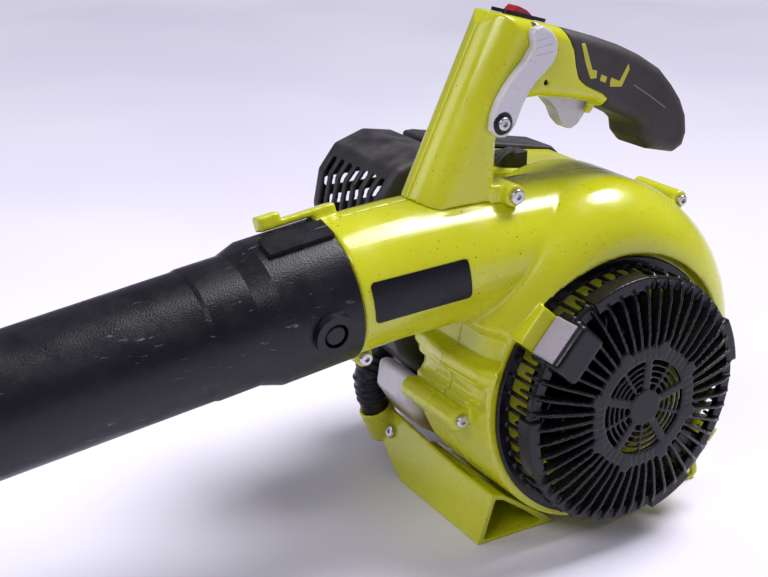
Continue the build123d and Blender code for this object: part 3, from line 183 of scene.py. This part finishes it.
# the dirt colour serves real grime blotches and also painted shade in concave creases
def plastic(name, base, rough=0.32, vary=0.10, speck=0.0, grime=0.25, grain=900.0, grain_s=0.10, scuff=0.0, scuff_col=(0.5, 0.5, 0.5),
            coat=0.0, dirt_and_crease_shade=(0.10, 0.09, 0.05), dust=0.0, spec=0.5, crease_shade=0.0, edge=0.0, edge_col=(0.5, 0.5, 0.5)):
    mt, nt, b, co = new_mat(name)
    big = nz(nt, co, 9.0, 4.0)
    dark = tuple(c * (1 - vary) for c in base)
    light = tuple(min(1.0, c * (1 + vary * 0.7)) for c in base)
    col = mixc(nt, ramp(nt, big, 0.3, 0.7), dark, light)
    # grime: soft blotches and a fine film
    bl = ramp(nt, nz(nt, co, 34.0, 5.0, 0.65), 0.56, 0.80)
    gr = mth(nt, "MULTIPLY", bl, grime)
    col = mixc(nt, gr, col, dirt_and_crease_shade)
    fine = ramp(nt, nz(nt, co, 420.0, 3.0, 0.6), 0.66, 0.78)
    col = mixc(nt, mth(nt, "MULTIPLY", fine, grime * 0.6), col, dirt_and_crease_shade)
    if dust:
        geo = nt.nodes.new("ShaderNodeNewGeometry")
        sx = nt.nodes.new("ShaderNodeSeparateXYZ")
        nt.links.new(geo.outputs["Normal"], sx.inputs["Vector"])
        upf = ramp(nt, sx.outputs["Z"], 0.35, 0.95)
        dn = mth(nt, "MULTIPLY", upf, ramp(nt, nz(nt, co, 60.0, 5.0, 0.6), 0.3, 0.75))
        col = mixc(nt, mth(nt, "MULTIPLY", dn, dust), col, (0.42, 0.40, 0.36))
    if speck:
        s1 = specks(nt, co, 120.0, 0.080, 1.7)
        s2 = specks(nt, co, 230.0, 0.11, 5.1)
        col = mixc(nt, mth(nt, "MULTIPLY", mth(nt, "MAXIMUM", s1, s2), speck), col, (0.035, 0.03, 0.015))
    if scuff:
        a = nz(nt, co, 60.0, 6.0, 0.7, (1.0, 6.0, 6.0))
        c2 = nz(nt, co, 14.0, 2.0)
        sc = mth(nt, "MULTIPLY", ramp(nt, a, 0.62, 0.70), ramp(nt, c2, 0.50, 0.64))
        ln = nz(nt, co, 260.0, 2.0, 0.5, (0.10, 1.0, 1.0, 0.0, 0.5, 0.7))
        sc2 = mth(nt, "MULTIPLY", ramp(nt, ln, 0.70, 0.73), ramp(nt, nz(nt, co, 22.0, 2.0), 0.52, 0.66))
        allsc = mth(nt, "MAXIMUM", sc, sc2)
        col = mixc(nt, mth(nt, "MULTIPLY", allsc, scuff), col, scuff_col)
    if crease_shade or edge:
        g2 = nt.nodes.new("ShaderNodeNewGeometry")
        pt = g2.outputs["Pointiness"]
        # painted shade: concave creases (low pointiness) are darkened toward the dirt colour, broken up by noise
        if crease_shade:
            crease_shade_mask = mth(nt, "MULTIPLY", ramp(nt, pt, 0.40, 0.485, 1.0, 0.0), ramp(nt, nz(nt, co, 70.0, 5.0, 0.7), 0.35, 0.62))
            col = mixc(nt, mth(nt, "MULTIPLY", crease_shade_mask, crease_shade), col, dirt_and_crease_shade)
        if edge:
            ed = mth(nt, "MULTIPLY", ramp(nt, pt, 0.53, 0.60), ramp(nt, nz(nt, co, 130.0, 5.0, 0.7), 0.42, 0.60))
            col = mixc(nt, mth(nt, "MULTIPLY", ed, edge), col, edge_col)
    b.inputs["Specular IOR Level"].default_value = spec
    nt.links.new(col, b.inputs["Base Color"])
    rg = ramp(nt, nz(nt, co, 48.0, 5.0, 0.65), 0.3, 0.8, max(0.04, rough - 0.07), min(1.0, rough + 0.14))
    nt.links.new(rg, b.inputs["Roughness"])
    if coat:
        b.inputs["Coat Weight"].default_value = coat
        b.inputs["Coat Roughness"].default_value = 0.12
    h = nz(nt, co, grain, 2.0, 0.5)
    wob = nz(nt, co, 26.0, 2.0, 0.5)
    hh = mth(nt, "ADD", mth(nt, "MULTIPLY", h, 0.5), mth(nt, "MULTIPLY", wob, 0.7))
    bump(nt, b, hh, grain_s, 0.0008)
    return mt


def metal(name, base, rough=0.3, vary=0.2, grime=0.25, brush=None):
    mt, nt, b, co = new_mat(name)
    col = mixc(nt, ramp(nt, nz(nt, co, 40.0, 5.0, 0.6), 0.3, 0.7), tuple(c * (1 - vary) for c in base), base)
    col = mixc(nt, mth(nt, "MULTIPLY", ramp(nt, nz(nt, co, 150.0, 5.0, 0.7), 0.52, 0.75), grime), col, (0.07, 0.055, 0.04))
    nt.links.new(col, b.inputs["Base Color"])
    b.inputs["Metallic"].default_value = 1.0
    nt.links.new(ramp(nt, nz(nt, co, 210.0, 4.0, 0.6), 0.25, 0.8, rough, min(1.0, rough + 0.25)), b.inputs["Roughness"])
    h = nz(nt, co, 500.0, 3.0, 0.6, brush) if brush else nz(nt, co, 900.0, 3.0, 0.6)
    bump(nt, b, h, 0.12, 0.0003)
    return mt


MAT = {}
# crease amounts paint shade into the concave creases of the lime, cover, white and grey plastics
MAT["lime_plastic"] = plastic("lime_plastic", (0.585, 0.60, 0.013), 0.22, 0.07, 0.95, 0.13, 1400.0, 0.05, coat=0.35, dirt_and_crease_shade=(0.13, 0.115, 0.02), crease_shade=0.75, scuff=0.22, scuff_col=(0.30, 0.27, 0.05))
MAT["black_plastic"] = plastic("black_plastic", (0.0070, 0.0064, 0.0098), 0.33, 0.3, 0.0, 0.10, 1000.0, 0.42, scuff=0.6, scuff_col=(0.22, 0.215, 0.27), dirt_and_crease_shade=(0.022, 0.022, 0.026), dust=0.02, spec=0.34)
MAT["cover_black"] = plastic("cover_black", (0.0048, 0.0045, 0.0068), 0.27, 0.3, 0.0, 0.2, 900.0, 0.22, scuff=0.2, scuff_col=(0.08, 0.08, 0.10), dirt_and_crease_shade=(0.018, 0.015, 0.013), dust=0.02, spec=0.34, crease_shade=0.5, edge=0.35, edge_col=(0.10, 0.10, 0.12))
MAT["black_gloss"] = plastic("black_gloss", (0.0055, 0.0055, 0.0080), 0.28, 0.2, 0.0, 0.15, 900.0, 0.10, dirt_and_crease_shade=(0.03, 0.026, 0.022), dust=0.03, spec=0.34)
MAT["grip_rubber"] = plastic("grip_rubber", (0.040, 0.033, 0.036), 0.55, 0.2, 0.0, 0.18, 1600.0, 0.40, scuff=0.25, scuff_col=(0.13, 0.12, 0.12), dirt_and_crease_shade=(0.09, 0.08, 0.07), dust=0.08, spec=0.4, edge=0.3, edge_col=(0.14, 0.13, 0.13))
MAT["white_plastic"] = plastic("white_plastic", (0.60, 0.585, 0.62), 0.26, 0.05, 0.5, 0.14, 900.0, 0.06, coat=0.2, dirt_and_crease_shade=(0.25, 0.22, 0.18), crease_shade=0.5)
MAT["grey_plastic"] = plastic("grey_plastic", (0.42, 0.38, 0.46), 0.50, 0.14, 0.6, 0.55, 700.0, 0.30, scuff=0.6, scuff_col=(0.16, 0.14, 0.18), dirt_and_crease_shade=(0.17, 0.145, 0.19), crease_shade=0.6)
MAT["dark_grey_plastic"] = plastic("dark_grey_plastic", (0.020, 0.0185, 0.0225), 0.45, 0.2, 0.0, 0.25, 1100.0, 0.30, scuff=0.25, scuff_col=(0.13, 0.13, 0.13), dirt_and_crease_shade=(0.06, 0.05, 0.035), dust=0.12, spec=0.4)
MAT["red_plastic"] = plastic("red_plastic", (0.42, 0.010, 0.018), 0.25, 0.12, 0.2, 0.15, 900.0, 0.06, coat=0.3)
MAT["badge"] = plastic("badge", (0.0050, 0.0047, 0.0070), 0.34, 0.15, 0.0, 0.12, 500.0, 0.05, scuff=0.3, scuff_col=(0.10, 0.10, 0.12), dirt_and_crease_shade=(0.02, 0.02, 0.02), spec=0.28)
MAT["rubber_hose"] = plastic("rubber_hose", (0.012, 0.012, 0.014), 0.50, 0.2, 0.0, 0.3, 900.0, 0.2, dirt_and_crease_shade=(0.07, 0.06, 0.05), dust=0.15, spec=0.4)
MAT["foam"] = plastic("foam", (0.03, 0.03, 0.032), 0.95, 0.3, 0.0, 0.3, 700.0, 1.0)
MAT["primer_clear"] = plastic("primer_clear", (0.40, 0.09, 0.06), 0.25, 0.1, 0.0, 0.1, 500.0, 0.05, coat=0.4)
MAT["screw_steel"] = metal("screw_steel", (0.66, 0.65, 0.66), 0.20, 0.15, 0.35)
MAT["steel"] = metal("steel", (0.36, 0.35, 0.34), 0.34, 0.25, 0.35)
MAT["bearing_steel"] = metal("bearing_steel", (0.6, 0.6, 0.6), 0.16, 0.1, 0.1)
MAT["aluminium"] = metal("aluminium", (0.52, 0.51, 0.50), 0.42, 0.2, 0.35)


def tank_material():
    mt, nt, b, co = new_mat("tank_plastic")
    sx = nt.nodes.new("ShaderNodeSeparateXYZ")
    nt.links.new(co, sx.inputs["Vector"])
    wob = nz(nt, co, 18.0, 3.0)
    lvl = mth(nt, "ADD", sx.outputs["Z"], mth(nt, "MULTIPLY", wob, 0.010))
    fuel = ramp(nt, lvl, 0.062, 0.078, 1.0, 0.0)
    milky = mixc(nt, ramp(nt, nz(nt, co, 30.0, 4.0), 0.3, 0.7), (0.56, 0.53, 0.55), (0.74, 0.71, 0.74))
    tea = mixc(nt, ramp(nt, nz(nt, co, 26.0, 4.0), 0.3, 0.7), (0.17, 0.11, 0.045), (0.30, 0.21, 0.10))
    col = mixc(nt, fuel, milky, tea)
    col = mixc(nt, mth(nt, "MULTIPLY", ramp(nt, nz(nt, co, 90.0, 5.0, 0.65), 0.55, 0.75), 0.35), col, (0.22, 0.17, 0.10))
    nt.links.new(col, b.inputs["Base Color"])
    b.inputs["Roughness"].default_value = 0.30
    b.inputs["Subsurface Weight"].default_value = 0.25
    b.inputs["Subsurface Radius"].default_value = (0.004, 0.003, 0.002)
    b.inputs["Subsurface Scale"].default_value = 1.0
    bump(nt, b, nz(nt, co, 60.0, 3.0), 0.12, 0.0008)
    return mt


def cord_material():
    mt, nt, b, co = new_mat("cord")
    w = nt.nodes.new("ShaderNodeTexWave")
    w.wave_type, w.bands_direction = "BANDS", "Z"
    w.inputs["Scale"].default_value = 260.0
    w.inputs["Distortion"].default_value = 1.5
    nt.links.new(co, w.inputs["Vector"])
    col = mixc(nt, w.outputs["Fac"], (0.62, 0.61, 0.58), (0.10, 0.10, 0.11))
    col = mixc(nt, mth(nt, "MULTIPLY", ramp(nt, nz(nt, co, 300.0, 4.0), 0.5, 0.75), 0.4), col, (0.16, 0.13, 0.10))
    nt.links.new(col, b.inputs["Base Color"])
    b.inputs["Roughness"].default_value = 0.85
    bump(nt, b, w.outputs["Fac"], 0.6, 0.0005)
    return mt


MAT["tank_plastic"] = tank_material()
MAT["cord"] = cord_material()

slots = {s["node"]: s["material_slot"] for s in frame["record"]["subparts"]}
for n, o in N.items():
    o.data.materials.clear()
    o.data.materials.append(MAT[slots[n]])


# ---------------------------------------------------------------- smooth moulded shapes
def evaluated_copy(o, name):
    dg = bpy.context.evaluated_depsgraph_get()
    dg.update()
    me = bpy.data.meshes.new_from_object(o.evaluated_get(dg), depsgraph=dg)
    me.name = name
    return me


def moulded(name, node, voxel, smooth, body=None, mat=None):
    """A copy of a CAD node with its edges melted round, as a moulded part has them."""
    src = N[node]
    o = bpy.data.objects.new(name, src.data.copy())
    scene.collection.objects.link(o)
    md = o.modifiers.new("remesh", "REMESH")
    md.mode = "VOXEL"
    md.voxel_size = voxel
    md.adaptivity = 0.0
    md.use_smooth_shade = True
    sm = o.modifiers.new("smooth", "SMOOTH")
    sm.factor = 0.5
    sm.iterations = smooth
    me = evaluated_copy(o, name)
    o.modifiers.clear()
    old = o.data
    o.data = me
    bpy.data.meshes.remove(old)
    for p in me.polygons:
        p.use_smooth = True
    me.materials.clear()
    me.materials.append(mat or MAT[slots[node]])
    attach(o, body or src["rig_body"])
    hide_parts(node)
    return o


V = 1.0
left = moulded("housing_left", "volute_left_shell", 0.0011 * V, 5)
rightsh = moulded("housing_right", "volute_right_shell", 0.0011 * V, 5)


def sstep(a, b, x):
    t = min(1.0, max(0.0, (x - a) / (b - a)))
    return t * t * (3 - 2 * t)


def relieve(o):
    """Draws the wall above and below the ledge back, so that the ledge stands out of it."""
    for v in o.data.vertices:
        x, y, z = v.co * 1000.0
        if x < 62 or not -60 < y < 60 or not 104 < z < 176 or x > 128:
            continue
        if math.hypot(x - 109, z - 104) < 12:
            continue
        over = sstep(143.5, 147.0, z) * (1 - sstep(160, 171, z)) * (1 - sstep(40, 54, y)) * sstep(-58, -50, y)
        under = (1 - sstep(127.0, 130.0, z)) * sstep(108, 120, z) * (1 - sstep(36, 47, y)) * sstep(-58, -50, y)
        v.co.x -= sstep(62, 84, x) * (9.0 * over + 5.5 * under) / 1000.0
    o.data.update()


relieve(left)
relieve(rightsh)
hl = moulded("handle_left", "handle_left_shell", 0.0009 * V, 10)
hr = moulded("handle_right", "handle_right_shell", 0.0009 * V, 10)
grip = moulded("grip_sleeve", "grip_overmold", 0.0007 * V, 3)
cover = moulded("inlet_grille", "inlet_cover", 0.00075 * V, 2, mat=MAT["cover_black"])
basef = moulded("base", "base_frame", 0.0011 * V, 4)
lh = moulded("lower_grip", "lower_handle", 0.0007 * V, 3)
tank = moulded("tank", "fuel_tank", 0.0010 * V, 24)
mcov = moulded("front_cover", "muffler_cover", 0.0011 * V, 4)
lev = moulded("cruise_lever_body", "cruise_lever", 0.0005 * V, 5)
trg = moulded("trigger_body", "throttle_trigger", 0.0006 * V, 6)
rock = moulded("rocker_body", "stop_rocker", 0.0004 * V, 5)
ltc = moulded("latch_plate", "cover_latch", 0.0005 * V, 4)

# ---------------------------------------------------------------- inlays on the grip's left side
def tree_of(o):
    bm = bmesh.new()
    bm.from_mesh(o.data)
    t = BVHTree.FromBMesh(bm)
    bm.free()
    return t


def inlay(name, tree, poly, direction, lift, body, mat, plane, cell=0.0012):
    """A thin closed skin laid on a surface: poly is in the plane's two axes, in mm, and is dropped along direction."""
    ax, ay, depth = plane
    xs = [q[0] for q in poly]
    ys = [q[1] for q in poly]
    bm = bmesh.new()
    c = cell * 1000
    vs = [bm.verts.new((x, y, 0)) for x, y in poly]
    bm.faces.new(vs)
    for k in range(int(math.floor(min(xs) / c)), int(math.ceil(max(xs) / c)) + 1):
        bmesh.ops.bisect_plane(bm, geom=bm.verts[:] + bm.edges[:] + bm.faces[:], plane_co=(k * c, 0, 0), plane_no=(1, 0, 0))
    for k in range(int(math.floor(min(ys) / c)), int(math.ceil(max(ys) / c)) + 1):
        bmesh.ops.bisect_plane(bm, geom=bm.verts[:] + bm.edges[:] + bm.faces[:], plane_co=(0, k * c, 0), plane_no=(0, 1, 0))
    top, keep = {}, True
    for v in bm.verts:
        p = Vector((0, 0, 0))
        p[ax], p[ay] = v.co.x / 1000, v.co.y / 1000
        p[3 - ax - ay] = depth
        hit = tree.ray_cast(p, direction)
        if hit[0] is None:
            keep = False
            break
        top[v] = (hit[0], hit[1])
    if not keep:
        bm.free()
        return None
    for v, (h, n) in top.items():
        v.co = h + n * lift
    ret = bmesh.ops.extrude_face_region(bm, geom=bm.faces[:])
    for v in [g for g in ret["geom"] if isinstance(g, bmesh.types.BMVert)]:
        v.co = v.co + Vector(direction) * (lift + 0.0004)
    bmesh.ops.recalc_face_normals(bm, faces=bm.faces)
    me = bpy.data.meshes.new(name)
    bm.to_mesh(me)
    bm.free()
    me.materials.append(mat)
    o = bpy.data.objects.new(name, me)
    scene.collection.objects.link(o)
    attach(o, body)
    return o


def stroke(pts, w):
    """Outline of a line of constant width."""
    L, R = [], []
    for i, p in enumerate(pts):
        a = Vector(pts[max(i - 1, 0)])
        c = Vector(pts[min(i + 1, len(pts) - 1)])
        d = (c - a).normalized()
        n = Vector((-d.y, d.x)) * w / 2
        L.append((p[0] + n.x, p[1] + n.y))
        R.append((p[0] - n.x, p[1] - n.y))
    return L + R[::-1]


gt = tree_of(grip)
lime_marks = [[(17, 350), (14, 350), (9, 337), (7, 332), (3, 331), (3, 326), (8, 326), (13, 337)],
              [(-1, 328), (-6, 326), (-5, 322), (0, 324)],
              [(-24, 333), (-25, 329), (-19, 318), (-9, 319), (-9, 323), (-10, 325), (-17, 322), (-22, 330)]]
grey_lines = [stroke([(-17, 311), (-24, 315), (-40, 304), (-59, 292), (-59.5, 284), (-53, 282), (-32, 286)], 0.8),
              stroke([(-30, 318), (-45, 309), (-60, 299)], 0.8)]
MAT["grip_mark"] = plastic("grip_mark", (0.50, 0.47, 0.03), 0.5, 0.12, 0.3, 0.3, 900.0, 0.2, dirt_and_crease_shade=(0.12, 0.10, 0.04))
MAT["grip_line"] = plastic("grip_line", (0.20, 0.17, 0.13), 0.6, 0.12, 0.0, 0.3, 900.0, 0.2, dirt_and_crease_shade=(0.12, 0.10, 0.07))
for side in (1, -1):
    tag = "left" if side > 0 else "right"
    for k, poly in enumerate(lime_marks):
        inlay("grip_mark_%s_%d" % (tag, k), gt, poly, Vector((0, -side, 0)), 0.00018, "machine", MAT["grip_mark"], (0, 2, 0.08 * side))
    for k, poly in enumerate(grey_lines):
        inlay("grip_line_%s_%d" % (tag, k), gt, poly, Vector((0, -side, 0)), 0.00012, "machine", MAT["grip_line"], (0, 2, 0.08 * side))

# a plain dark panel on top of the engine shroud
MAT["shroud_panel"] = plastic("shroud_panel", (0.016, 0.016, 0.030), 0.25, 0.3, 0.0, 0.2, 500.0, 0.05, scuff=0.4, scuff_col=(0.10, 0.09, 0.14), dirt_and_crease_shade=(0.05, 0.045, 0.03), coat=0.3)
inlay("shroud_panel", tree_of(N["engine_shroud"]), [(12, -55), (12, -66), (-44, -66), (-44, -55)], Vector((0, 0, -1)), 0.0003, "machine", MAT["shroud_panel"], (0, 1, 0.36), 0.004)

# ---------------------------------------------------------------- starter rope, a slightly thinned copy of the CAD rope
src = N["starter_rope"]
rope = bpy.data.objects.new("pull_rope", src.data.copy())
scene.collection.objects.link(rope)
rope.data.materials.clear()
rope.data.materials.append(MAT["cord"])
RD = Vector((-0.5736, 0.0, 0.8192)).normalized()
ts = [v.co.dot(RD) for v in rope.data.vertices]
cen = sum((v.co for v in rope.data.vertices), Vector()) / len(ts)
cen = cen - RD * cen.dot(RD)
for v in rope.data.vertices:          # a laid rope is a little waisted between its strands
    q = v.co - RD * v.co.dot(RD) - cen
    v.co = cen + RD * v.co.dot(RD) + q * 0.97
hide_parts("starter_rope")
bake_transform(rope)

# ---------------------------------------------------------------- floor and lights
hd = Vector((math.sin(AZ), -math.cos(AZ), 0)).normalized()     # towards the camera
sd = Vector((hd.y, -hd.x, 0))                                    # to the camera's left
me = bpy.data.meshes.new("floor")
bm = bmesh.new()
bmesh.ops.create_grid(bm, x_segments=24, y_segments=24, size=9.0)
bm.to_mesh(me)
bm.free()
floor = bpy.data.objects.new("floor", me)
scene.collection.objects.link(floor)
mt, nt, b, co = new_mat("floor_mat")
fl = mixc(nt, ramp(nt, nz(nt, co, 1.3, 2.0), 0.3, 0.7), (0.80, 0.77, 0.90), (0.88, 0.86, 0.96))
fl = mixc(nt, mth(nt, "MULTIPLY", ramp(nt, nz(nt, co, 90.0, 5.0, 0.7), 0.62, 0.85), 0.10), fl, (0.5, 0.48, 0.55))
nt.links.new(fl, b.inputs["Base Color"])
b.inputs["Roughness"].default_value = 0.7
me.materials.append(mt)


def area(name, loc, target, size, power, color=(1, 1, 1)):
    d = bpy.data.lights.new(name, "AREA")
    d.shape = "RECTANGLE"
    d.size, d.size_y = size
    d.energy = power
    d.color = color
    o = bpy.data.objects.new(name, d)
    scene.collection.objects.link(o)
    o.location = loc
    o.rotation_euler = (Vector(target) - Vector(loc)).to_track_quat("-Z", "Y").to_euler()
    return o


C = Vector((0.10, 0.0, 0.17))
area("key", C - sd * 0.75 - hd * 0.35 + Vector((0, 0, 1.35)), C, (0.55, 0.55), 12, (1.0, 0.99, 1.0))
area("front", C + hd * 1.0 + sd * 0.55 + Vector((0, 0, 1.0)), C, (0.7, 0.4), 7, (0.97, 0.96, 1.0))
area("left", C + hd * 0.1 + sd * 1.5 + Vector((0, 0, 0.9)), C, (0.9, 0.9), 6, (0.95, 0.94, 1.0))
sun = bpy.data.lights.new("sky", "SUN")
sun.energy = 2.05
sun.angle = math.radians(28)
sun.color = (0.98, 0.97, 1.0)
so = bpy.data.objects.new("sky", sun)
scene.collection.objects.link(so)
so.rotation_euler = (sd * 0.55 + hd * 0.30 - Vector((0, 0, 1.2))).to_track_quat("-Z", "Y").to_euler()
w = bpy.data.worlds.new("world")
scene.world = w
w.use_nodes = True
bg = w.node_tree.nodes["Background"]
bg.inputs["Color"].default_value = (0.80, 0.78, 1.0, 1)
bg.inputs["Strength"].default_value = 0.20
